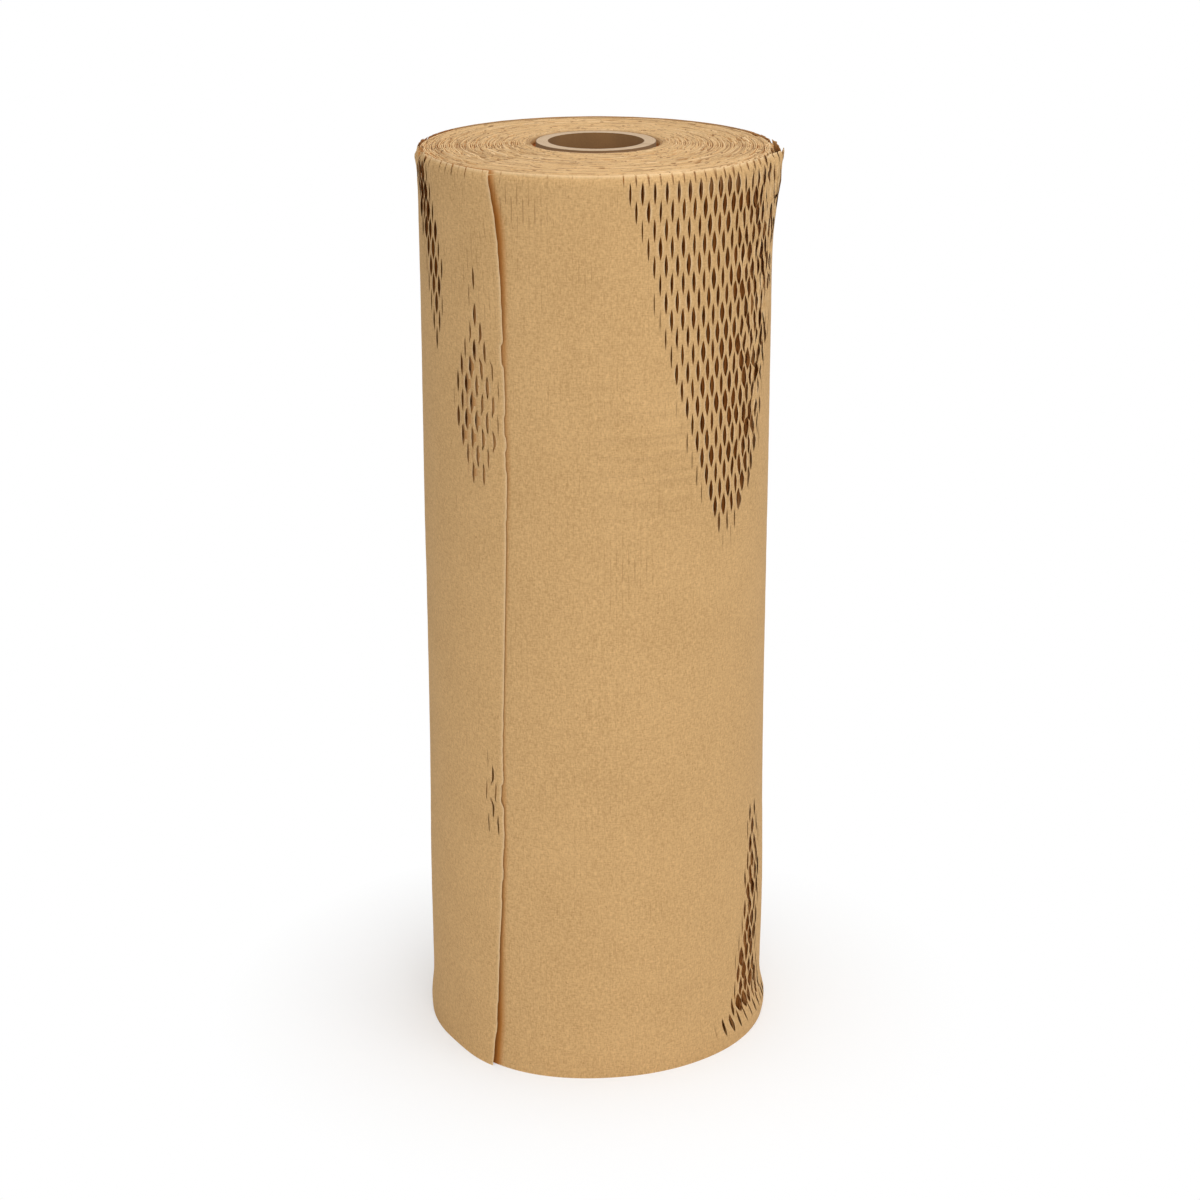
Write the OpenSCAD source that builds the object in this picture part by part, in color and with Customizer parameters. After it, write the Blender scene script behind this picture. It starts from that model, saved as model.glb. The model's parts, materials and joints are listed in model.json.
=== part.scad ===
/* [Paper web] */
// Width of the slit kraft web, which is the height of the roll as it stands
web_w = 500; // [420:5:600]
// Radius from the core's axis to the free edge of the last turn
roll_r = 94.5; // [80:0.5:120]
// Distance between the drawn turns, each of which stands for about 17 turns of the real paper
pitch = 2.5; // [2:0.1:3]
// Thickness that the last turn is drawn with
sheet_t = 0.8; // [0.5:0.1:1.2]

/* [Core] */
// Bore of the cardboard core, for a spindle or a pair of end plugs
core_bore_d = 50; // [38:1:60]
// Wall of the core
core_wall = 7; // [4:0.5:8]
// How far the core stands above the paper at the top
core_proud = 1.6; // [0.5:0.1:5]
// Eased outer edge at each end of the core
core_ease = 0.6; // [0.2:0.1:1.5]

/* [Free edge] */
// Direction of the free edge, in degrees from +X
edge_angle = 239; // [0:1:359]
// Arc behind the edge that has come loose from the turn under it, in degrees
loose_arc = 13; // [5:1:30]
// How far a slit that the cutter ran through sets the edge back
edge_notch = 1.6; // [0.8:0.1:3]

/* [End faces] */
// Width of the steep side of the line between two turns
line_w = 0.7; // [0.3:0.1:1]
// Depth of the line between two turns
line_depth = 0.8; // [0.4:0.1:2]
// How far the last turns have settled below the others at the top
rim_drop = 1.6; // [0:0.1:4]
// Width of the settled rim
rim_w = 9; // [4:1:20]
// How far the rim spreads outwards at the top
top_flare = 1; // [0.4:0.1:3]
// Height of the spread part at the top
top_flare_h = 22; // [10:1:60]
// How far the rim spreads outwards at the bottom
foot_flare = 0.6; // [0.2:0.1:2]
// Height of the spread part at the bottom
foot_flare_h = 14; // [6:1:30]
// Direction in which the last turn stands off at the top, in degrees from the front towards +X
lip_deg = 78; // [50:1:100]
// How far it stands off there
lip_off = 3.6; // [2:0.1:6]
// Height over which it leans out
lip_h = 66; // [40:1:120]
// Arc to each side over which it closes up again
lip_arc = 62; // [40:1:75]

/* [Honeycomb slits] */
// Length of a slit
slit_l = 13.5; // [10:0.1:16]
// Uncut paper between two slits of one column
slit_land = 5.2; // [3:0.1:8]
// Distance from one column of slits to the next
column_gap = 3.2; // [2.4:0.1:4]
// Width of a slit that is fully open
slit_open = 2.1; // [1:0.1:2.6]
// Depth of an open cell, through the loose turns
cell_depth = 3; // [1:0.5:8]
// Cells are drawn this many times as large as real ones, so that 120 fill the opened areas
cell_scale = 2; // [1.9:0.05:2.5]

/* [Hidden] */
$fn = 96;
core_r = core_bore_d / 2 + core_wall;
core_h = web_w + core_proud;
turns = floor((roll_r - core_r) / pitch);
row_pitch = (slit_l + slit_land) * cell_scale;
columns = 2 * round(PI * roll_r / (column_gap * cell_scale));
column_deg = 360 / columns;
least_open = 0.3;
fade_deg = 11;
fade_h = 16;
past = 1;
past_deg = 1;
lip_sink = 0.3;
lip_over = 8;

// An opened area is [end, first, last, left side, right side]. Its heights are measured from that
// end of the web, 1 for the top and 0 for the bottom. A side is a table of [height, degrees], and
// degrees count from the front, which is -Y, towards +X.
opened_areas = [
    // the large area at the right, which hangs from the top edge
    [1, 0, 196,
        [[0, 6], [60, 16], [120, 26], [170, 36], [196, 44]],
        [[0, 102], [60, 96], [105, 72], [150, 66], [196, 54]]],
    // the streak at the left, down from the top edge
    [1, 0, 100,
        [[0, -92], [45, -78], [100, -66]],
        [[0, -60], [50, -52], [100, -55]]],
    // the patch beside the free edge
    [1, 84, 172,
        [[84, -50], [116, -55], [172, -45]],
        [[84, -32], [140, -32], [172, -37]]],
    // the streak at the lower right, which runs out along the bottom edge
    [0, 0, 122,
        [[0, 42], [10, 44], [30, 52], [70, 60], [122, 72]],
        [[0, 102], [60, 96], [122, 82]]],
];

function smooth(x) = let (c = min(1, max(0, x))) c * c * (3 - 2 * c);

// Turning from the free edge, 0 to 360, of a place that is deg from the front.
function turned(deg) = let (a = 270 + deg - edge_angle) a - 360 * floor(a / 360);

// Radius of the last turn's outside at that turning.
function turn_r(a) = roll_r - pitch + pitch * a / 360;

// How far a slit in an area is open, from 0 to 1.
function opening(area, from_end, deg) =
    let (
        side_l = lookup(from_end, area[3]),
        side_r = lookup(from_end, area[4]),
        across = min(deg - side_l, side_r - deg) / fade_deg,
        along = (area[2] - from_end) / fade_h,
        above = area[1] == 0 ? 1 : (from_end - area[1]) / fade_h
    )
    smooth(across) * smooth(along) * smooth(above);

// Every open cell as [degrees from the front, height of its middle, opening].
cells = [
    for (area = opened_areas)
    for (row = [0 : ceil(area[2] / row_pitch)])
    for (column = [ceil(-100 / column_deg) : floor(120 / column_deg)])
    let (
        from_end = row_pitch * (row + (column % 2 == 0 ? 0 : 0.5)),
        deg = column * column_deg,
        open = from_end < area[1] || from_end > area[2] ? 0 : opening(area, from_end, deg)
    )
    if (open > least_open)
    [deg, area[0] == 1 ? web_w - from_end : from_end, open]
];

// Height of the top end of the turn at radius r.
function top_z(r, r_out) =
    web_w - rim_drop * smooth((r - r_out + rim_w) / rim_w);

// Section of one half of the winding, out to radius r_out. At its end each turn rises outwards from
// the line beside it.
function winding_section(r_out) =
    concat(
        [[core_r - pitch, 0]],
        [for (n = [turns - 1 : -1 : 1], k = [-1, 0])
            [r_out - n * pitch + k * line_w, k == 0 ? line_depth : 0]],
        [[r_out + foot_flare, 0], [r_out, foot_flare_h]],
        [[r_out, web_w - top_flare_h], [r_out + top_flare, top_z(r_out, r_out)]],
        [for (n = [1 : turns - 1], k = [0, -1])
            let (r = r_out - n * pitch + k * line_w)
            [r, top_z(r, r_out) - (k == 0 ? line_depth : 0)]],
        [[core_r - pitch, web_w]]
    );

// One sheet wound outwards from the core. Each half turn is a true arc, and the two centres
// lie half a pitch apart, so that the radius grows by one pitch a turn.
module winding() {
    for (half = [0, 1])
        rotate([0, 0, 180 * half])
            translate([-pitch / 4, 0, 0])
                rotate_extrude(angle = 180)
                    polygon(winding_section(roll_r - 3 * pitch / 4 + half * pitch / 2));
}

// The stretch of the last turn that leans away from the winding at the top. It is a cone that
// tilts towards its own middle, so that it sinks into the winding at both ends and at its foot.
module standing_lip() {
    foot_r = turn_r(turned(lip_deg)) - lip_sink;
    lean = (lip_off + lip_sink) / (1 - cos(lip_arc));
    tilt = atan(lean / lip_h);
    top_r = foot_r - lean * cos(lip_arc);
    rotate([0, 0, 270 - edge_angle + lip_deg])
        translate([0, 0, web_w - rim_drop - lip_h])
            rotate([0, tilt, 0])
                rotate([0, 0, -lip_arc - lip_over])
                    rotate_extrude(angle = 2 * (lip_arc + lip_over))
                        polygon([
                            [foot_r - sheet_t, 0], [foot_r, 0],
                            [top_r, lip_h], [top_r - sheet_t, lip_h],
                        ]);
}

// The gap behind the free edge, where the last turn has come loose.
module loose_gap() {
    translate([pitch / 4, 0, 0])
        rotate([0, 0, -loose_arc])
            rotate_extrude(angle = loose_arc + past_deg)
                translate([roll_r - 5 * pitch / 4, -past])
                    square([pitch - sheet_t, web_w + 2 * past]);
}

// Slits that the cutter ran through, which set the free edge back here and there.
module edge_notches() {
    step = slit_l + slit_land;
    for (n = [1 : floor(web_w / step) - 1])
        if (n % 5 == 1 || n % 7 == 3)
            translate([roll_r - sheet_t - past, -edge_notch, n * step])
                cube([sheet_t + 2 * past, edge_notch + past, slit_l]);
}

// Outline of an open slit, pointed at both ends.
module slit_outline(length, width) {
    polygon([[0, -length / 2], [width / 2, 0], [0, length / 2], [-width / 2, 0]]);
}

// The opened honeycomb cells, cut into the outside of the winding.
module open_cells() {
    for (cell = cells) {
        surface_r = turn_r(turned(cell[0]));
        rotate([0, 0, 270 - edge_angle + cell[0]])
            translate([surface_r - cell_depth, 0, cell[1]])
                rotate([90, 0, 90])
                    linear_extrude(cell_depth + lip_off + past)
                        slit_outline(slit_l * cell_scale, slit_open * cell_scale * cell[2]);
    }
}

module paper_roll() {
    color("burlywood")
        rotate([0, 0, edge_angle])
            difference() {
                union() {
                    winding();
                    standing_lip();
                }
                // turned, so that its seam line keeps off the plane where the half turns meet
                rotate([0, 0, 90])
                    translate([0, 0, -past])
                        cylinder(r = core_r, h = web_w + 2 * past);
                loose_gap();
                edge_notches();
                open_cells();
            }
}

// The bore's own edges are sharp, so that its wall runs the whole length of the core.
module core_tube() {
    color("rosybrown")
        rotate_extrude()
            polygon([
                [core_bore_d / 2, 0],
                [core_r - core_ease, 0],
                [core_r, core_ease],
                [core_r, core_h - core_ease],
                [core_r - core_ease, core_h],
                [core_bore_d / 2, core_h],
            ]);
}

paper_roll();
core_tube();
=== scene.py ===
import json
import math

import bpy
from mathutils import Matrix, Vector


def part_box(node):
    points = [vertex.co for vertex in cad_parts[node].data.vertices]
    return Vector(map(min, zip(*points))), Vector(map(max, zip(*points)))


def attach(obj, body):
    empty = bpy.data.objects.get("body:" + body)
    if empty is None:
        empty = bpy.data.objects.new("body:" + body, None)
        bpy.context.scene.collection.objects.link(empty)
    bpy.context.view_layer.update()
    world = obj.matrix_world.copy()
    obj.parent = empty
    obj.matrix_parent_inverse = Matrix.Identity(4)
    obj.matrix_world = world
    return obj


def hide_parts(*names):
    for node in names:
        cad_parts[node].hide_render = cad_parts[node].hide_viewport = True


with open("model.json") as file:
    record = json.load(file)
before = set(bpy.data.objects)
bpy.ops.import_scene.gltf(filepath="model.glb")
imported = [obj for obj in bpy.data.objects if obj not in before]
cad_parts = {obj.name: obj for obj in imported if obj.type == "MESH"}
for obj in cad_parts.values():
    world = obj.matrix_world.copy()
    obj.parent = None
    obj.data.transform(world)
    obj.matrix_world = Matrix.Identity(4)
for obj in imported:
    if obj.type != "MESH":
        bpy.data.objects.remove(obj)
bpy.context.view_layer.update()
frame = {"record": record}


# Cardboard core
# The real core is a tube of spiral-wound board, a dozen plies of about half a millimetre glued one
# over the other. It was sawn to length, which leaves its ends a little furry and shows the plies.

mm = 0.001


class Value:
    """A socket of a node tree. Arithmetic on it adds Math nodes, so that a formula reads as one."""

    def __init__(self, tree, socket):
        self.tree = tree
        self.socket = socket

    def math(self, operation, *others, first=None):
        node = self.tree.nodes.new("ShaderNodeMath")
        node.operation = operation
        values = (self, *others) if first is None else (first, self)
        for slot, value in zip(node.inputs, values):
            feed(slot, value)
        return Value(self.tree, node.outputs[0])

    def __add__(self, other):
        return self.math("ADD", other)

    def __sub__(self, other):
        return self.math("SUBTRACT", other)

    def __rsub__(self, other):
        return self.math("SUBTRACT", first=other)

    def __mul__(self, other):
        return self.math("MULTIPLY", other)

    def __truediv__(self, other):
        return self.math("DIVIDE", other)

    def __rtruediv__(self, other):
        return self.math("DIVIDE", first=other)

    __radd__ = __add__
    __rmul__ = __mul__


def feed(slot, value):
    """Links a value to a socket, or sets the socket to it where it is a plain number."""
    if isinstance(value, Value):
        value.tree.links.new(value.socket, slot)
    else:
        slot.default_value = value


def put(tree, kind, inputs=None, output=0, **settings):
    """Adds a node with its settings and inputs, and returns one of its outputs."""
    node = tree.nodes.new(kind)
    for name, value in settings.items():
        setattr(node, name, value)
    for name, value in (inputs or {}).items():
        feed(node.inputs[name], value)
    return Value(tree, node.outputs[output])


def ramp(x, low, high, to_low=0.0, to_high=1.0, soft=False):
    """x taken from low..high to to_low..to_high, and held at both ends."""
    return put(
        x.tree, "ShaderNodeMapRange",
        {"Value": x, "From Min": low, "From Max": high, "To Min": to_low, "To Max": to_high},
        interpolation_type="SMOOTHSTEP" if soft else "LINEAR",
    )


def vector(tree, x, y, z):
    return put(tree, "ShaderNodeCombineXYZ", {"X": x, "Y": y, "Z": z})


def axes_of(place):
    """The x, y and z of a place, as three values."""
    node = place.tree.nodes.new("ShaderNodeSeparateXYZ")
    feed(node.inputs[0], place)
    return [Value(place.tree, output) for output in node.outputs]


def noise(tree, at, scale, detail=2.0, dimensions="3D"):
    """Smooth noise about 0.5 at a place, with scale patches to the unit."""
    return put(
        tree, "ShaderNodeTexNoise",
        {"Vector": at, "Scale": scale, "Detail": detail},
        noise_dimensions=dimensions,
    )


def blend(tree, amount, first, second, mode="MIX"):
    """Two colours mixed by amount."""
    node = tree.nodes.new("ShaderNodeMix")
    node.data_type = "RGBA"
    node.blend_type = mode
    feed(node.inputs["Factor"], amount)
    for slot, colour in ((node.inputs[6], first), (node.inputs[7], second)):
        feed(slot, colour if isinstance(colour, Value) else (*colour, 1.0))
    return Value(tree, node.outputs[2])


def new_material(name, roughness):
    material = bpy.data.materials.new(name)
    material.use_nodes = True
    shader = material.node_tree.nodes["Principled BSDF"]
    shader.inputs["Roughness"].default_value = roughness
    shader.inputs["Specular IOR Level"].default_value = 0.25
    return material, material.node_tree, shader


def bump(tree, height, distance, strength=1.0):
    return put(
        tree, "ShaderNodeBump",
        {"Height": height, "Distance": distance, "Strength": strength},
    )


core_low, core_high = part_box("core_tube")
core_bore_r = frame["record"]["mounts"][0]["dims"]["r_mm"] * mm
core_r = (core_high[0] - core_low[0]) / 2
core_top = core_high[2]
ply = 0.55 * mm
board_light = (0.54, 0.4, 0.265)
board_dark = (0.36, 0.235, 0.135)
# The bore's two browns are far darker than the board, as painted shade inside the tube.
lighter_bore_shade = (0.205, 0.1, 0.034)
bore_shade = (0.11, 0.055, 0.02)
# A painted shadow, for the core's outer wall where it stands out of the paper.
outside_shade = (0.15, 0.075, 0.03)
seam_pitch = 0.11

board, tree, shader = new_material("core_board", 0.88)
place = put(tree, "ShaderNodeTexCoord", output="Object")
x, y, z = axes_of(place)
radius = (x * x + y * y).math("SQRT")
angle = y.math("ARCTAN2", x)
plies = noise(tree, vector(tree, radius / ply, angle, 0.0), 1.0, 1.0)
fibres = noise(tree, place, 1500.0, 3.0)
patches = noise(tree, place, 140.0, 2.0)
seam_turn = (angle / math.tau + z / seam_pitch).math("FRACT")
seam = ramp((seam_turn - 0.5).math("ABSOLUTE"), 0.0, 0.012, 1.0, 0.0)
on_end = ramp(z, core_top - 0.5 * mm, core_top - 0.1 * mm)
tone = ramp(plies * 0.5 + fibres * 0.3 + patches * 0.2, 0.36, 0.64)
worn = tone * 0.6 + on_end * 0.4 - seam * 0.5
inside = ramp(radius, core_bore_r + 0.2 * mm, core_bore_r + 0.5 * mm, 1.0, 0.0)
colour = blend(tree, worn.math("MAXIMUM", 0.0), board_dark, board_light)
# The bore is painted in the two dark browns, painted shade inside the tube.
painted_bore_shade = blend(tree, tone * 0.6 - seam * 0.4 + 0.2, bore_shade, lighter_bore_shade)
# The outer wall and the outer edge of the core's end are painted dark, a painted shadow where the
# core stands out of the paper.
wall_shadow = ramp(radius, core_r - 0.7 * mm, core_r - 0.4 * mm, 0.0, 0.9)
colour = blend(tree, wall_shadow, colour, outside_shade)
feed(shader.inputs["Base Color"], blend(tree, inside, colour, painted_bore_shade))
feed(shader.inputs["Normal"], bump(tree, plies * on_end + fibres * 0.4, 0.12 * mm))


def new_tree(name, **inputs):
    """A geometry tree with named inputs, and those inputs as values."""
    tree = bpy.data.node_groups.new(name, "GeometryNodeTree")
    tree.interface.new_socket("Geometry", in_out="OUTPUT", socket_type="NodeSocketGeometry")
    kinds = {
        int: "NodeSocketInt",
        float: "NodeSocketFloat",
        bpy.types.Material: "NodeSocketMaterial",
    }
    source = tree.nodes.new("NodeGroupInput")
    for label, value in inputs.items():
        socket = tree.interface.new_socket(label, in_out="INPUT", socket_type=kinds[type(value)])
        socket.default_value = value
    return tree, {label: Value(tree, source.outputs[label]) for label in inputs}


def finish_tree(tree, mesh, material):
    """Ends a tree with its instances made real and its material set."""
    real = put(tree, "GeometryNodeRealizeInstances", {0: mesh})
    painted = put(tree, "GeometryNodeSetMaterial", {0: real, "Material": material})
    feed(tree.nodes.new("NodeGroupOutput").inputs[0], painted)


def make_piece(name, tree, node, slot, **inputs):
    """The plain mesh that a tree makes, standing for a CAD node. The slot is not used."""
    piece = bpy.data.objects.new(name, bpy.data.meshes.new(name))
    bpy.context.scene.collection.objects.link(piece)
    modifier = piece.modifiers.new("shape", "NODES")
    modifier.node_group = tree
    for item in tree.interface.items_tree:
        if item.in_out == "INPUT" and item.name in inputs:
            modifier[item.identifier] = inputs[item.name]
    graph = bpy.context.evaluated_depsgraph_get()
    mesh = bpy.data.meshes.new_from_object(
        piece.evaluated_get(graph), preserve_all_data_layers=True, depsgraph=graph
    )
    piece.modifiers.clear()
    piece.data = mesh
    mesh.name = name
    mesh.shade_smooth()
    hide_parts(node)
    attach(piece, "root")
    return piece


def grid(tree, columns, rows):
    """A flat sheet of cells, with its column from the left and its row from the top as values."""
    mesh = put(
        tree, "GeometryNodeMeshGrid",
        {"Size X": columns, "Size Y": rows, "Vertices X": columns + 1, "Vertices Y": rows + 1},
    )
    x, y, _ = axes_of(put(tree, "GeometryNodeInputPosition"))
    return mesh, x + columns / 2, rows / 2 - y


def keep(mesh, name, value, domain="POINT"):
    """Keeps a value on the mesh under a name, for later nodes and for the material."""
    return put(
        mesh.tree, "GeometryNodeStoreNamedAttribute",
        {0: mesh, "Name": name, "Value": value}, data_type="FLOAT", domain=domain,
    )


def kept(tree, name):
    return put(tree, "GeometryNodeInputNamedAttribute", {"Name": name}, data_type="FLOAT")


def move_to(mesh, x, y, z):
    return put(
        mesh.tree, "GeometryNodeSetPosition", {0: mesh, "Position": vector(mesh.tree, x, y, z)}
    )


def merged(mesh, distance=0.01 * mm):
    return put(mesh.tree, "GeometryNodeMergeByDistance", {0: mesh, "Distance": distance})


# The core's section, bore first, as [radius, height] from the sawn end, then its furry end.
core_around = 160
tree, given = new_tree(
    "core tube", Bore=core_bore_r, Outside=core_r, Length=core_top, Fur=0.22 * mm, Material=board
)
end_rows = 8
wall_rows = 20
section_rows = 2 * (end_rows + wall_rows)
mesh, column, row = grid(tree, core_around, section_rows)
turn = column * (-math.tau / core_around)
down_in = ramp(row, 0, wall_rows)
out_low = ramp(row, wall_rows, wall_rows + end_rows)
up_out = ramp(row, wall_rows + end_rows, 2 * wall_rows + end_rows)
back_in = ramp(row, 2 * wall_rows + end_rows, section_rows)
across = out_low - back_in
height = (1 - down_in + up_out) * given["Length"]
radius = given["Bore"] + across * (given["Outside"] - given["Bore"])
fur_at = vector(tree, turn.math("COSINE") * radius, turn.math("SINE") * radius, height)
fur = noise(tree, fur_at, 900.0)
at_top = ramp(height, given["Length"] - 0.6 * mm, given["Length"])
at_end = back_in * (1 - back_in) * 2 + at_top * 0.5
height = height + (fur - 0.62) * given["Fur"] * 2 * at_end
worn_top = ramp(height, given["Length"] - 0.8 * mm, given["Length"])
radius = radius - ramp(across, 0.8, 1.0) * worn_top * 0.35 * mm
mesh = move_to(mesh, turn.math("COSINE") * radius, turn.math("SINE") * radius, height)
finish_tree(tree, merged(mesh), given["Material"])
make_piece("core_tube_board", tree, "core_tube", "core_board", Length=core_top)


# Wound paper
# One web of brown kraft paper, 0.12 mm thick and cut with staggered rows of slits. It is wound on
# the core under light tension, so that the turns lie in loose bundles with ragged ends.

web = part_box("paper_roll")[1][2]
body_r = 93.6 * mm
kraft_light = (0.7, 0.443, 0.2)
kraft_dark = (0.475, 0.283, 0.113)
# A painted highlight colour, for lit edges and the end faces.
painted_highlight = (0.88, 0.65, 0.38)
# Two browns of painted shade, for paper that lies down between turns, behind opened cells and beside
# the free edge.
shade_brown = (0.45, 0.17, 0.03)
deep_shade_brown = (0.28, 0.07, 0.004)
speck_brown = (0.3, 0.15, 0.05)
slit_brown = (0.25, 0.12, 0.04)
line_brown = (0.24, 0.12, 0.045)

# Degrees and columns of slits both count from the front towards the right. The free edge hangs at
# edge_deg. All but the edge is turned slit_shift columns to the left, which brings the slits in
# line with those of the real roll.
slit_columns = 184
column_deg = 360 / slit_columns
slit_period = 18.7 * mm
slit_length = 13.5 * mm
row_step = slit_period / 12
slit_shift = 0.65
edge_deg = -31.0
edge_column = slit_columns + edge_deg / column_deg

kraft, tree, shader = new_material("kraft_paper", 0.9)
place = put(tree, "ShaderNodeTexCoord", output="Object")
stretched = put(
    tree, "ShaderNodeMapping", {"Vector": place, "Scale": (1.0, 1.0, 0.3)}, vector_type="POINT"
)
fibre = noise(tree, stretched, 1500.0, 4.0)
blotch = noise(tree, place, 850.0, 3.0)
cloud = noise(tree, place, 30.0, 2.0)
speck = ramp(noise(tree, place, 480.0, 1.0), 0.74, 0.8)


def bell(x, middle, width):
    """A smooth hump of height 1 about a middle."""
    off = (x - middle) / width
    return (off * off * -1.0).math("EXPONENT")


def attribute(name):
    return put(tree, "ShaderNodeAttribute", output="Fac", attribute_name=name)


line = attribute("column")
depth = attribute("from_top")
shut = attribute("shut_slits")
odd = (line.math("ROUND") / 2).math("FRACT").math("ABSOLUTE") * 2
slit_place = (depth / slit_period + (odd - 1) * 0.5).math("FRACT")
beside_slit = (line - line.math("ROUND")).math("ABSOLUTE")
along_slit = (slit_place - 0.5).math("ABSOLUTE")

# Closed slits show in patches, and most where the web was strained. Those places are given as
# [column, columns to each side, mm from the top, mm up and down].
strained = [[7, 5, 205, 17], [163, 4, 72, 28], [-12, 4, 18, 14]]
seen = ramp(noise(tree, place, 55.0, 2.0), 0.45, 0.7) * 0.6
for middle, width, down, reach in strained:
    seen = seen + bell(line, middle, width) * bell(depth, down * mm, reach * mm) * 0.8
slit_mark = ramp(beside_slit, 0.02, 0.1, 1.0, 0.0) * ramp(along_slit, 0.12, 0.2) * shut * seen
# The rim value marks painted highlights: on the edges of cells, the web's top and free edge, and the
# tops of taller turns.
rim = attribute("rim").math("POWER", 3.5)
painted_shade = attribute("painted_shade")
on_end = attribute("on_end")
across = noise(tree, vector(tree, line * 1.1, depth * 1500, 0.0), 1.0, 3.0)
tone = ramp(fibre * 0.36 + across * 0.28 + blotch * 0.27 + cloud * 0.09, 0.375, 0.625)
colour = blend(tree, tone, kraft_dark, kraft_light)
colour = blend(tree, speck * 0.45, colour, speck_brown)
fading = ramp(depth, 10 * mm, 90 * mm, 0.75, 0.35)
colour = blend(tree, slit_mark * fading, colour, slit_brown)
colour = blend(tree, rim * 0.7, colour, painted_highlight)

# On the end faces long lines and short dashes run around between the turns.
line_gap = 0.55 * mm
dash_gap = 1.3 * mm
x, y, _ = axes_of(place)
radius = (x * x + y * y).math("SQRT")
lines_at = vector(tree, x / radius * 1.7, y / radius * 1.7, radius / line_gap)
dashes_at = vector(tree, x / radius * 15, y / radius * 15, radius / dash_gap)
long_lines = ramp(noise(tree, lines_at, 1.0, 2.0), 0.36, 0.5, 0.6, 0.0)
dashes = ramp(noise(tree, dashes_at, 1.0, 1.0), 0.62, 0.68, 0.0, 0.85)
dark_line = long_lines.math("MAXIMUM", dashes)
# Next to the core the end face is painted darker, a painted shadow of the core's proud end.
core_shadow = ramp(radius, core_r + 1.4 * mm, core_r + 5 * mm, 0.95, 0.0)
# The end faces are painted a little lighter, as painted light on faces turned up.
colour = blend(tree, on_end * 0.2, colour, painted_highlight)
colour = blend(tree, dark_line.math("MAXIMUM", core_shadow) * on_end, colour, line_brown)
# Paper down between turns, behind opened cells and beside the free edge is painted darker, as painted
# shade.
colour = blend(tree, ramp(painted_shade, 0.0, 0.5), colour, shade_brown)
colour = blend(tree, ramp(painted_shade, 0.5, 1.0), colour, deep_shade_brown)
feed(shader.inputs["Base Color"], colour)

# The surface is a little rough, and ripples where the web is slack beside the opened area.
slack_column = 10
slack_down = 145 * mm
height = fibre * 0.35 + blotch * 0.65 - slit_mark * 1.2
ripple_at = vector(tree, line * 0.07, depth * 150, 0.0)
beside = (line - slack_column).math("ABSOLUTE")
above = (depth - slack_down).math("ABSOLUTE")
slack_part = ramp(beside, 3.0, 12.0, 1.0, 0.12, soft=True)
slack_part = slack_part * ramp(above, 15 * mm, 60 * mm, 1.0, 0.25, soft=True)
height = height + noise(tree, ripple_at, 1.0, 1.0) * slack_part * 22
feed(shader.inputs["Normal"], bump(tree, height, 0.12 * mm, 0.9))


def lookup(x, table):
    """The height at x of a line through the points of table."""
    level = table[0][1]
    for (x0, y0), (x1, y1) in zip(table, table[1:]):
        level = ramp(x, x0, x1, 0.0, y1 - y0) + level
    return level


def from_front(column):
    """Degrees of a column from the front, from -180 to 180."""
    degrees = column * column_deg
    return degrees - ramp(degrees, 179.9, 180.0) * 360


# The opened areas. Each has tables of [mm from the top, degrees] for its left and right sides, and
# then where it begins and ends, in mm from the top.
opened_areas = [
    ([[-60, 2], [2, 8], [15, 11], [43, 17], [69, 21], [101, 25], [139, 32], [170, 38], [196, 47]],
     [[0, 94], [25, 86], [60, 82], [90, 77], [119, 70], [156, 66], [177, 58], [196, 50]],
     -60, 194),
    ([[-60, -84], [22, -80], [33, -74], [45, -70], [70, -66], [97, -62]],
     [[-10, -62], [10, -67], [22, -63], [43, -58], [56, -56], [72, -57], [97, -59]],
     -60, 96),
    ([[46, -42], [80, -43], [102, -49], [116, -51], [129, -51], [144, -48], [169, -44]],
     [[46, -40], [70, -40], [85, -37], [97, -35], [118, -33], [139, -34], [156, -37], [172, -40]],
     54, 166),
    ([[352, 68], [370, 65], [388, 63.5], [406, 63], [424, 61.5], [442, 59], [460, 58], [474, 56],
      [482, 51], [490, 42]],
     [[352, 72], [378, 74], [424, 75], [452, 73], [470, 76], [482, 84], [490, 90]],
     362, 488.5),
    ([[318, -37], [354, -37]],
     [[318, -33], [354, -33]],
     318, 354),
]


def add_opening_group():
    """The group that says how far the slits are opened at a column and a distance from the top."""
    group = bpy.data.node_groups.new("opening", "GeometryNodeTree")
    for label in ("Column", "From Top"):
        group.interface.new_socket(label, in_out="INPUT", socket_type="NodeSocketFloat")
    group.interface.new_socket("Opening", in_out="OUTPUT", socket_type="NodeSocketFloat")
    source = group.nodes.new("NodeGroupInput")
    column = Value(group, source.outputs[0])
    below = Value(group, source.outputs[1]) / mm
    degrees = from_front(column)
    widest = None
    for left, right, first, last in opened_areas:
        across = (degrees - lookup(below, left)).math("MINIMUM", lookup(below, right) - degrees) / 5
        along = (below - first).math("MINIMUM", last - below) / 16
        inside = across.math("MINIMUM", along)
        widest = inside if widest is None else widest.math("MAXIMUM", inside)
    wander = noise(group, vector(group, degrees / 12, below / 22, 0.0), 1.0, 2.0) - 0.5
    opening = ramp(widest + wander * 1.4, -0.6, 0.9, soft=True)
    feed(group.nodes.new("NodeGroupOutput").inputs[0], opening)
    return group


opening_group = add_opening_group()


def opening(column, below):
    """How far the paper is opened there, from 0 to 1."""
    node = column.tree.nodes.new("GeometryNodeGroup")
    node.node_tree = opening_group
    feed(node.inputs[0], column)
    feed(node.inputs[1], below)
    return Value(column.tree, node.outputs[0])


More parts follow.
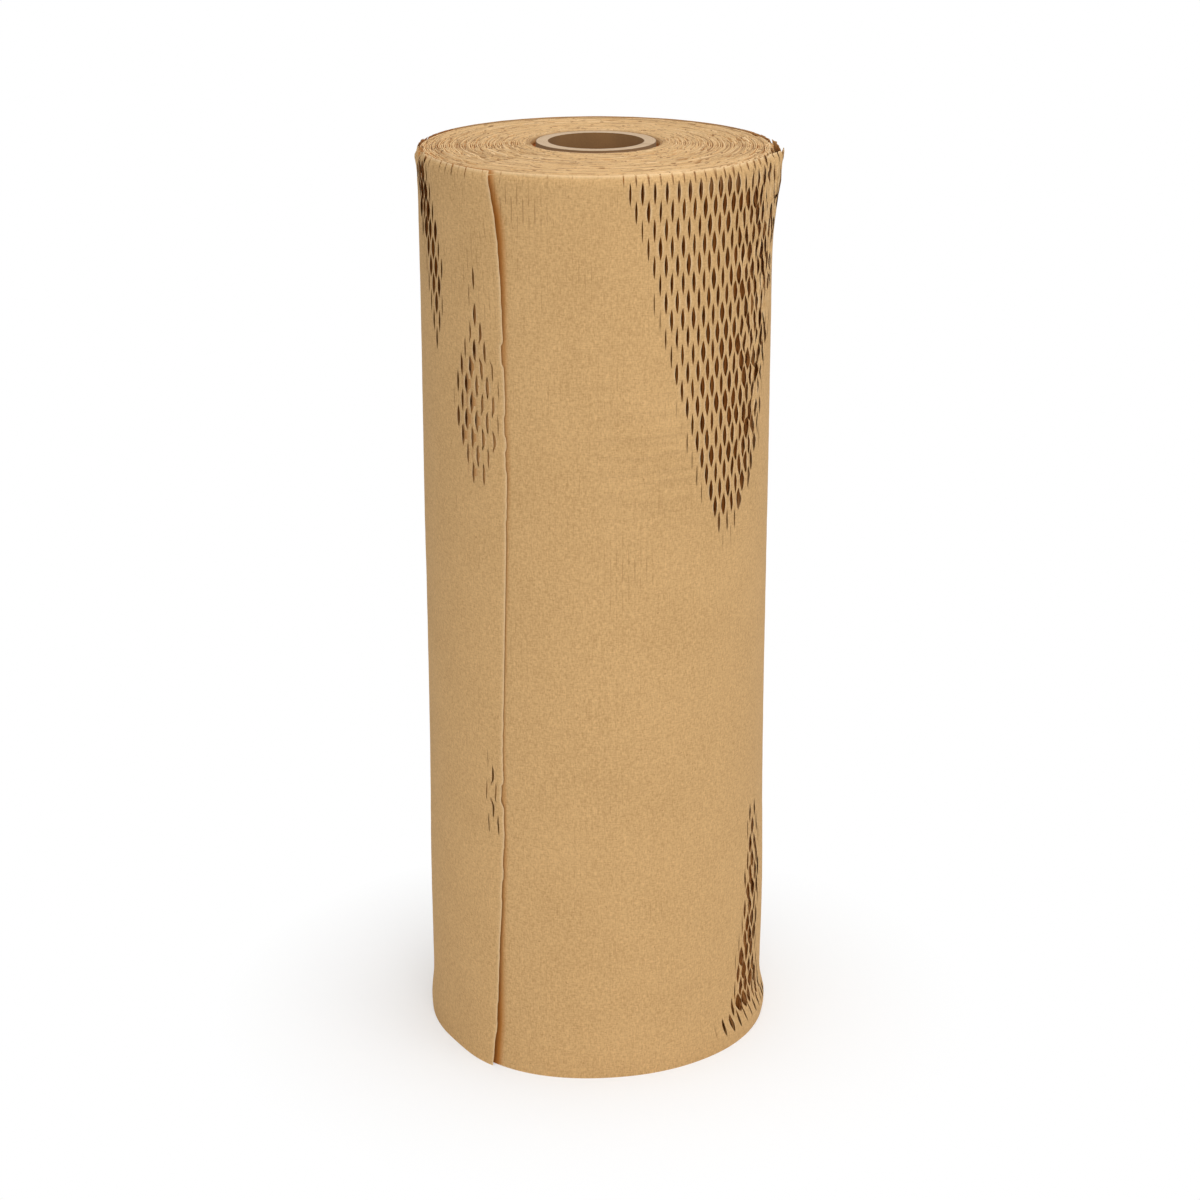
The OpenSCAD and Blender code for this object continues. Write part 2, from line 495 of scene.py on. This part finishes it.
def body_radius(column, below):
    """Radius of the roll's side, with the spread rims and the slack that the web has taken."""
    degrees = from_front(column)
    right = bell(degrees, 84, 40)
    left = bell(degrees, -88, 22)
    lean_h = (24 + right * 48) * mm
    top = ramp(below / lean_h, 0.0, 1.0, 1.0, 0.0, soft=True)
    foot = ramp(below, web - 24 * mm, web)
    bulge = bell(below, web - 7 * mm, 11 * mm) * 0.85 + bell(below, web - 76 * mm, 60 * mm) * 0.45
    near_tail = bell(degrees, -24, 24)
    spread = top * (0.7 + right * 1.2 + left * 0.7) + foot * (0.3 + near_tail * 2.4)
    spread = spread + bulge * (right * 3.6 + left * 1.6)
    turn = degrees * (math.pi / 180)
    around = vector(column.tree, turn.math("COSINE"), turn.math("SINE"), below * 4.0)
    slack = (noise(column.tree, around, 2.1, 1.0) - 0.5) * 1.1
    return body_r + (spread + slack) * mm


# The inner body carries the sheets on its side. Where the paper is opened it lies back, and there it
# is painted dark as shade in the cells.
tree, given = new_tree(
    "winding body", Inset=0.9 * mm, Recess=4.2 * mm, End=2.2 * mm, Inside=core_r, Material=kraft
)
cap_rows = 4
side_rows = 130
section_rows = 2 * cap_rows + side_rows
mesh, column, row = grid(tree, slit_columns, section_rows)
below = ramp(row, cap_rows, cap_rows + side_rows)
below = below * (web - given["End"] * 2) + given["End"]
open_here = opening(column, below)
side = body_radius(column, below) - given["Inset"] - open_here * given["Recess"]
out = ramp(row, 0, cap_rows) - ramp(row, cap_rows + side_rows, section_rows)
radius = given["Inside"] + (side - given["Inside"]) * out
# The painted shade in the cells is patchy and lighter low down, and the caps are painted dark towards
# the core.
patchy = noise(tree, vector(tree, column * 0.5, below * 60, 0.0), 1.0, 1.0)
darkness = 1 - patchy * ramp(below, 340 * mm, 390 * mm, 0.4, 0.85)
mesh = keep(mesh, "painted_shade", (ramp(open_here, 0.0, 0.5) * darkness).math("MAXIMUM", 1 - out))
turn = column * (math.tau / slit_columns)
mesh = move_to(mesh, radius * turn.math("SINE"), radius * turn.math("COSINE") * -1, web - below)
finish_tree(tree, merged(mesh), given["Material"])
make_piece("winding_body", tree, "paper_roll", "kraft_paper")


# The ends of the turns, as one ribbon on a spiral. Each turn stands for a bundle of real ones that
# lie together, a little higher or lower than the next.
def end_turns_tree(name, around, at_top):
    """A tree for the ribbon that shows at one end, with around cells to a turn."""
    tree, given = new_tree(
        name, Turns=58, Depth=2.4 * mm, Unevenness=0.7 * mm, Fill=0.8, Material=kraft
    )
    up = 1 if at_top else -1
    cells = given["Turns"] * around
    mesh, along, row = grid(tree, cells, 3)
    first_r = core_r + 0.9 * mm
    last_r = body_r - 1.6 * mm
    share = along / cells
    pitch = (last_r - first_r) / given["Turns"]
    turn = (edge_deg + 270) * (math.pi / 180) - (1 - share) * given["Turns"] * math.tau
    side = turn.math("COSINE")
    bundle_at = vector(tree, side * 1.4, turn.math("SINE") * 1.4, share * 21)
    bundle = noise(tree, bundle_at, 1.0, 2.0)
    crowd = noise(tree, vector(tree, along * (2.6 / around), 0.0, 3.7), 1.0, 2.0)
    radius = first_r + (last_r - first_r) * share + (bundle - 0.5) * pitch * 1.8
    radius = radius + (crowd - 0.5) * pitch * 0.9
    off_core = ramp(share, 0.0, 0.12, 1.0, 0.0) * ramp(side, -0.9, 0.4, 1.2 * mm, 0.5 * mm)
    radius = radius + off_core
    loose = ramp(side * side, 0.3, 1.0)
    width = pitch * (given["Fill"] - loose * 0.1) * ramp(crowd, 0.3, 0.7, 0.7, 1.2)
    outer = ramp(row, 1.0, 2.0)
    radius = radius + (outer - 0.5) * width * up
    tall = noise(tree, vector(tree, along * (9.3 / around), 5.1, 0.0), 1.0, 4.0)
    nick = ramp(noise(tree, vector(tree, along * (44.0 / around), 9.4, 0.0), 1.0, 0.0), 0.62, 0.72)
    settled = ramp(radius, body_r - 10 * mm, body_r, 0.0, 0.9 * mm, soft=True)
    settled = settled - ramp(radius, core_r, core_r + 34 * mm, 1.4 * mm, 0.0, soft=True)
    settled = settled + ramp(radius, core_r + 1 * mm, core_r + 4.5 * mm, 0.9 * mm, 0.0, soft=True)
    uneven = (tall - 0.62) * given["Unevenness"] * 2 - nick * 1.1 * mm
    height = web - settled + uneven if at_top else ((tall - 0.5) * 0.6).math("MAXIMUM", 0.0) * mm
    skirt = ramp(row, 0.0, 1.0, 1.0, 0.0) + ramp(row, 2.0, 3.0)
    height = height - skirt * given["Depth"] * up
    # The ribbon's sides, down between the turns, are painted darker as shade, and the tops of the
    # taller turns lighter, a painted highlight.
    mesh = keep(mesh, "painted_shade", skirt * 0.45)
    mesh = keep(mesh, "rim", (1 - skirt) * ramp(tall, 0.4, 0.65, 0.0, 0.97))
    mesh = keep(mesh, "on_end", 1 - skirt)
    mesh = move_to(mesh, radius * turn.math("COSINE"), radius * turn.math("SINE"), height)
    finish_tree(tree, mesh, given["Material"])
    return tree


make_piece("top_turns", end_turns_tree("top turns", 170, True), "paper_roll", "kraft_paper")
make_piece(
    "foot_turns", end_turns_tree("foot turns", 96, False), "paper_roll", "kraft_paper", Turns=40
)


# Last turns
# The outermost turns of the same web. They have been handled: the slits are pulled open in places
# into honeycomb cells, the rim leans out and is crushed, and the free edge hangs loose.

# The free edge's wave as [mm from the top, degrees], and how far the edge stands off the turn
# below it as [mm from the top, mm].
free_edge = [
    [1, -34.6], [10, -33.5], [22, -32.1], [35, -31.1], [60, -30.2], [98, -29.7], [155, -29.0],
    [200, -29.7], [255, -30.8], [308, -32.0], [370, -31.6], [430, -33.9], [461, -34.6], [502, -35.7],
]
edge_lift = [
    [0, 1.5], [25, 2.1], [60, 1.6], [110, 0.7], [300, 0.5], [380, 0.9], [440, 1.5], [500, 2.4],
]
left_rim_deg = 276


def steps(index, parts):
    """How far a line of the grid lies, where parts are [cells, step] one after another."""
    total = 0.0
    start = 0
    for cells, step in parts:
        total = ramp(index, start, start + cells, 0.0, cells * step) + total
        start += cells
    return total


def chance_at(tree, x, y, z):
    """A random number from 0 to 1 that belongs to a place."""
    return put(
        tree, "ShaderNodeTexWhiteNoise", {"Vector": vector(tree, x, y, z)}, noise_dimensions="3D"
    )


def slit_gap(column_line, below, seed, widest):
    """Width of the cell on a slit line there, which is 0 beyond the slit's ends."""
    tree = below.tree
    odd = (column_line / 2).math("FRACT").math("ABSOLUTE") * 2
    phase = (1 - odd) * 0.5
    number = (below / slit_period - phase).math("ROUND")
    middle = (number + phase) * slit_period
    part = (below - middle).math("ABSOLUTE") / slit_length
    chance = chance_at(tree, column_line, number, seed)
    opened = opening(column_line, middle)
    whole = ramp(middle, 0.0, slit_period * 0.5, 0.55, 1.0)
    opened = ramp(opened, 0.12, 0.9) * (0.6 + chance * 0.5) * whole
    nicked = ramp(middle, 0.0, 0.5 * mm, 0.3, 0.0) * chance * chance
    left_rim = nicked * (1 + bell(column_line * column_deg, left_rim_deg, 16) * 2.5)
    opened = opened.math("MAXIMUM", left_rim)
    across = (part.math("MINIMUM", 0.5) * math.pi).math("COSINE").math("MAXIMUM", 0.0)
    return across.math("POWER", 1.15) * opened * widest


def edge_wave(below, seed):
    """Columns by which the free edge is off its straight line, by its wave, tears and fringe."""
    tree = below.tree
    ragged = noise(tree, vector(tree, below * 160, 0.0, seed), 1.0, 3.0) - 0.5
    torn = (below / slit_period).math("ROUND")
    torn_part = (below - torn * slit_period).math("ABSOLUTE") / slit_length
    torn_by = ramp(chance_at(tree, torn, 3.3, 0.0), 0.75, 1.0, 0.0, 0.5)
    torn_by = torn_by * ramp(torn_part, 0.4, 0.48, 1.0, 0.0)
    torn_by = torn_by * (1 - bell(below, 215 * mm, 75 * mm))
    torn_by = torn_by * ramp(below, 430 * mm, 445 * mm, 1.0, 0.2)
    wave = (lookup(below / mm, free_edge) - edge_deg) / column_deg - torn_by
    return wave + ragged * (0.35 + bell(below, 318 * mm, 22 * mm) * 0.7)


def sheet_tree(name, first_column, column_parts, row_parts):
    """A tree for a stretch of the slit web, as a grid whose lines follow the slits."""
    tree, given = new_tree(
        name, Inset=0.0, Separation=0.0, Cell=1.8 * mm, Tilt=0.45 * mm, Lift=1.0, Crush=1.0,
        Seed=0.0, Material=kraft,
    )
    columns = sum(cells for cells, _ in column_parts)
    rows = sum(cells for cells, _ in row_parts)
    mesh, column, row = grid(tree, columns, rows)
    mesh = keep(mesh, "column", steps(column, column_parts) + first_column)
    mesh = keep(mesh, "from_top", (steps(row, row_parts) * row_step).math("MINIMUM", web))
    column = kept(tree, "column")
    below = kept(tree, "from_top")

    # The sheet is cut along the slits that open, and through the half slits at its rim.
    line = column.math("ROUND")
    on_line = (column - line).math("ABSOLUTE").math("LESS_THAN", 0.01)
    opens = slit_gap(line, below, given["Seed"], 1.0).math("GREATER_THAN", 0.0001)
    odd = (line / 2).math("FRACT").math("GREATER_THAN", 0.25)
    rim_slit = below.math("LESS_THAN", 0.5 * slit_length) * odd
    cut = on_line * opens.math("MAXIMUM", rim_slit)
    mesh = put(tree, "GeometryNodeSplitEdges", {0: mesh, "Selection": cut})

    # The strips between two lines of slits bend aside where the slits open, and more so at the right.
    strip_middle = put(
        tree, "GeometryNodeFieldOnDomain", {0: column}, domain="FACE", data_type="FLOAT"
    )
    strip = strip_middle.math("FLOOR")
    share = column - strip
    degrees = from_front(column)
    open_here = opening(column, below)
    aside = ramp(degrees, 30.0, 58.0)
    widest = given["Cell"] * (1 + aside * (0.2 + ramp(below, 350 * mm, 400 * mm) * 0.95))
    gap_left = slit_gap(strip, below, given["Seed"], widest)
    gap_right = slit_gap(strip + 1, below, given["Seed"], widest)
    waver = noise(tree, vector(tree, column * 0.9, below * 130, given["Seed"]), 1.0, 1.0) - 0.5
    sideways = (1 - share) * gap_left * 0.5 - share * gap_right * 0.5
    low_lattice = bell(degrees, 72, 14) * ramp(below, 350 * mm, 400 * mm)
    wild = ramp(degrees, 46.0, 64.0) * (1 - low_lattice * 0.5)
    sideways = sideways + waver * (0.1 + wild) * 4.6 * mm * open_here

    # They also turn on edge and twist, so that one side of a cell stands above the other.
    facing = ramp(degrees, -34.0, 4.0, -1.0, 1.0)
    raised = (1 - share) * gap_left - share * gap_right
    sunk = ((1 - share) * gap_left + share * gap_right) * -0.12
    steep = 1 + ramp(degrees.math("ABSOLUTE"), 20.0, 50.0, 0.0, 0.6)
    steep = steep - ramp(degrees, 58.0, 76.0, 0.0, 1.3) - ramp(degrees, -82.0, -64.0, 0.9, 0.0)
    tilt = (raised * facing + sunk) / widest * given["Tilt"] * steep
    twist = noise(tree, vector(tree, strip * 0.83, below * 70, given["Seed"] + 7.1), 1.0, 1.0) - 0.5
    tilt = tilt - (share - 0.5) * twist * open_here * (0.15 + wild) * 6.0 * mm

    # The free edge waves and stands off the turn below it.
    near_edge = ramp(column, edge_column - 14, edge_column, soft=True)
    edge_shift = edge_wave(below, given["Seed"])
    loose = lookup(below / mm, edge_lift)
    lift = loose * mm * near_edge * given["Lift"]

    # The rim is crushed at both sides, leans out at the right and curls in elsewhere.
    at_rim = ramp(below, 0.0, 7 * mm, 1.0, 0.0)
    tab = ((strip_middle + 1) / 2).math("FLOOR")
    chance = chance_at(tree, tab, given["Seed"], 0.5)
    crushed = bell(degrees, 92, 15) * 0.7 + bell(degrees, -84, 15) * 1.3
    crushed = crushed * ramp(below, 1 * mm, 30 * mm, 1.0, 0.0, soft=True) * given["Crush"]
    fold = noise(tree, vector(tree, column * 0.34, below * 80, 2.2), 1.0, 1.5) - 0.5
    lip = bell(degrees, 90, 15) * ramp(below, 4 * mm, 50 * mm, 1.0, 0.0, soft=True) * given["Lift"]
    tab_bend = (chance - 0.72) * at_rim * at_rim * (0.4 + open_here * 0.9 + crushed * 3.4) * mm
    curl = at_rim * at_rim * (1 - lip) * 1.8 * mm
    wrinkle = noise(tree, vector(tree, column * 0.03, below * 95, 1.3), 1.0, 2.0) - 0.5
    wrinkled = bell(degrees, 18, 26) * bell(below / mm, 145, 42) * 2 + 0.3

    radius = body_radius(column, below) - given["Inset"] - open_here * given["Separation"]
    radius = radius + column * (0.15 * mm / slit_columns) + lift + tilt + tab_bend - curl
    radius = radius + crushed * fold * 4.0 * mm + lip * 2.8 * mm + wrinkle * wrinkled * 0.75 * mm
    height = web - 0.4 * mm - below * (1 - 0.4 * mm / web) + crushed * fold * 2.0 * mm
    height = height - lip * ramp(below, 0.0, 20 * mm, 1.6 * mm, 0.0)
    low = ramp(below, web - 34 * mm, web - 4 * mm)
    lean = low * low * bell(degrees, 66, 24) * 3.0 - (1 - near_edge) * slit_shift
    turn = (column + near_edge * edge_shift + lean) * (math.tau / slit_columns) + sideways / radius

    # For the material: painted highlights on the edges of cells and on the web's top and free edge,
    # the closed slits, and painted shade behind opened cells and beside the free edge.
    cell_edge = (gap_left * (1 - share) + gap_right * share) / widest * 1.3
    web_edge = ramp(below, 0.0, 2.2 * row_step, 1.0, 0.0)
    web_edge = web_edge.math("MAXIMUM", ramp(column, edge_column - 1.1, edge_column))
    mesh = keep(mesh, "rim", cell_edge.math("MAXIMUM", web_edge).math("MINIMUM", 1.0))
    mesh = keep(mesh, "shut_slits", ramp(open_here, 0.0, 0.3, 1.0, 0.0))
    # Just right of the free edge the paper is painted darker, a painted shadow of the lifted edge.
    off_edge = degrees - slit_shift * column_deg - lookup(below / mm, free_edge)
    off_edge = off_edge / (loose * 1.3 + 0.3)
    edge_shadow = ramp(off_edge, 0.0, 1.0, 0.5, 0.0, soft=True) * (loose * 0.4 + 0.2)
    edge_shadow = edge_shadow * ramp(column, 50.0, 51.0, 1.0, 0.0)
    # Where the turn below stands back behind opened cells it is painted darker, as painted shade.
    inner = (open_here * given["Separation"] / (2.6 * mm)).math("MINIMUM", 0.6)
    inner = inner * ramp(below, 2 * mm, 16 * mm) * ramp(degrees, 40.0, 72.0, 1.0, 0.6)
    mesh = keep(mesh, "painted_shade", inner.math("MAXIMUM", edge_shadow))
    mesh = move_to(mesh, radius * turn.math("SINE"), radius * turn.math("COSINE") * -1, height)
    finish_tree(tree, mesh, given["Material"])
    return tree


# The cells of the sheet's grid are half a column wide around the front and at the left, and two at
# the back. They are one row_step high near both ends and two between. The last turn laps over its
# own start.
lap_columns = 8
tucked_column = math.floor(edge_deg / column_deg) - lap_columns
last_fine_column = 66
top_rows = 136
foot_rows = 122
middle_step = 2
middle_rows = int((web / row_step - top_rows - foot_rows) / middle_step)
left_over = web / row_step - top_rows - foot_rows - middle_rows * middle_step
row_parts = [(top_rows, 1), (middle_rows, middle_step), (1, left_over), (foot_rows, 1)]
front_columns = last_fine_column - tucked_column
back_cells = 28
left_columns = edge_column - last_fine_column - 2 * back_cells
left_cells = int(2 * left_columns)
last_cell = left_columns - left_cells / 2
last_parts = [(2 * front_columns, 0.5), (back_cells, 2), (left_cells, 0.5), (1, last_cell)]
make_piece(
    "last_turn", sheet_tree("last turn", tucked_column, last_parts, row_parts),
    "paper_roll", "kraft_paper",
)

# The turn below shows only through open cells, so it is made around the front alone.
under_column = -62
under_cells = 264
under_parts = [(under_cells, 0.5)]
make_piece(
    "turn_below", sheet_tree("turn below", under_column, under_parts, row_parts),
    "paper_roll", "kraft_paper",
    Inset=0.45 * mm, Separation=1.6 * mm, Cell=2.1 * mm, Lift=0.0, Seed=4.0, Crush=0.9,
)


# Studio
# A white floor with broad soft light from above and from the front, as in a catalogue picture. The
# camera sees both floor and sky as near white, while they light the roll more softly, and the sky
# gives less light from the left.

white = (1.0, 1.0, 1.0, 1.0)
floor_grey = (0.86, 0.86, 0.86, 1.0)
seen_grey = (0.56, 0.56, 0.56, 1.0)

floor_material = bpy.data.materials.new("floor")
floor_material.use_nodes = True
tree = floor_material.node_tree
tree.nodes.clear()
place = put(tree, "ShaderNodeTexCoord", output="Object")
far = ramp(put(tree, "ShaderNodeVectorMath", {0: place}, "Value", operation="LENGTH"), 0.1, 0.22)
floor_paint = put(tree, "ShaderNodeBsdfDiffuse", {"Color": floor_grey})
seen_paint = put(tree, "ShaderNodeBsdfDiffuse", {"Color": seen_grey})
seen_glow = put(tree, "ShaderNodeEmission", {"Color": white, "Strength": 0.405})
far_glow = put(tree, "ShaderNodeEmission", {"Color": white, "Strength": 1.0})
near_look = put(tree, "ShaderNodeAddShader", {0: seen_paint, 1: seen_glow})
seen_look = put(tree, "ShaderNodeMixShader", {0: far, 1: near_look, 2: far_glow})
seen_directly = put(tree, "ShaderNodeLightPath", output="Is Camera Ray")
floor_look = put(tree, "ShaderNodeMixShader", {0: seen_directly, 1: floor_paint, 2: seen_look})
feed(tree.nodes.new("ShaderNodeOutputMaterial").inputs[0], floor_look)

floor_reach = 6.0
floor_mesh = bpy.data.meshes.new("floor")
corners = [(-floor_reach, -floor_reach, 0), (floor_reach, -floor_reach, 0),
           (floor_reach, floor_reach, 0), (-floor_reach, floor_reach, 0)]
floor_mesh.from_pydata(corners, [], [(0, 1, 2, 3)])
floor_mesh.materials.append(floor_material)
floor = bpy.data.objects.new("floor", floor_mesh)
bpy.context.scene.collection.objects.link(floor)

world = bpy.data.worlds.new("studio")
bpy.context.scene.world = world
world.use_nodes = True
tree = world.node_tree
tree.nodes.clear()
seen_directly = put(tree, "ShaderNodeLightPath", output="Is Camera Ray")
to_right, _, _ = axes_of(put(tree, "ShaderNodeTexCoord", output="Generated"))
sky_light = ramp(to_right, -1.0, 1.0, 0.46, 0.78)
strength = seen_directly * (1 - sky_light) + sky_light
sky = put(tree, "ShaderNodeBackground", {"Color": white, "Strength": strength})
tree.links.new(sky.socket, tree.nodes.new("ShaderNodeOutputWorld").inputs[0])


def softbox(name, place, aim, size, power):
    """A square area lamp that looks at a point."""
    light = bpy.data.lights.new(name, "AREA")
    light.shape = "SQUARE"
    light.size = size
    light.energy = power
    lamp = bpy.data.objects.new(name, light)
    bpy.context.scene.collection.objects.link(lamp)
    lamp.location = place
    away = [p - a for p, a in zip(place, aim)]
    flat = math.hypot(away[0], away[1])
    lamp.rotation_euler = (math.atan2(flat, away[2]), 0, math.atan2(away[1], away[0]) + math.pi / 2)


softbox("key", (0.25, -1.7, 1.4), (0, 0, 0.2), 1.0, 7.5)
softbox("fill", (1.5, -1.0, 0.6), (0, 0, 0.2), 1.2, 2.5)
softbox("low fill", (-0.46, -0.46, 0.06), (0, 0, 0.0), 0.3, 0.36)
softbox("top", (0.1, -0.2, 1.8), (0, 0, 0.4), 0.8, 10.5)

# The camera is placed from the photograph's perspective, which was fitted to the roll's outline.
camera_distance = 1450.8 * mm
camera_height = 745.7 * mm
camera_offset = 2.1 * mm
camera_pitch = 18.99
focal_px = 2764
frame_px = 1200
camera_data = bpy.data.cameras.new("camera")
camera_data.sensor_width = 36
camera_data.lens = focal_px / frame_px * camera_data.sensor_width
camera_data.clip_start = 0.05
camera = bpy.data.objects.new("camera", camera_data)
bpy.context.scene.collection.objects.link(camera)
camera.location = (camera_offset, -camera_distance, camera_height)
camera.rotation_euler = (math.radians(90 - camera_pitch), 0, 0)
bpy.context.scene.camera = camera
bpy.context.scene.view_settings.view_transform = "Standard"
